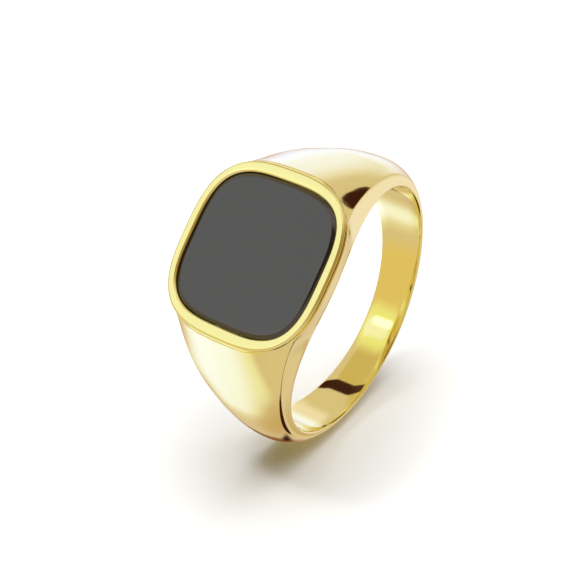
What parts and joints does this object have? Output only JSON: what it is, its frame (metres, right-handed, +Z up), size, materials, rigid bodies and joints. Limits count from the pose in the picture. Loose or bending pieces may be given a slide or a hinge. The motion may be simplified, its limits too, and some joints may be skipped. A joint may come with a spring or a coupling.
{
  "type": "signet ring",
  "caption": "Polished gold-plated signet ring with a flat dark cushion-shaped stone set flush in a narrow bezel on tapering shoulders.",
  "frame": {"origin": "centre of the finger hole, on its axis, at the middle of the band's width", "axes": "+X along the finger hole, +Z up, and the face of the ring leans 45 degrees from straight up towards -Y, so the ring stands on the round of its band"},
  "size_m": [0.0124, 0.024, 0.024],
  "materials": {
    "gold_plated_silver": "high polish gold plate over cast silver",
    "gold_plated_bezel": "high polish gold plate",
    "dark_stone": "flat polished dark grey onyx",
    "cement": "cured setting cement, hidden"
  },
  "bodies": {
    "root": {"ring_body": "gold_plated_silver", "bezel_collar": "gold_plated_bezel", "stone_tablet": "dark_stone", "setting_cement": "cement"}
  },
  "joints": []
}
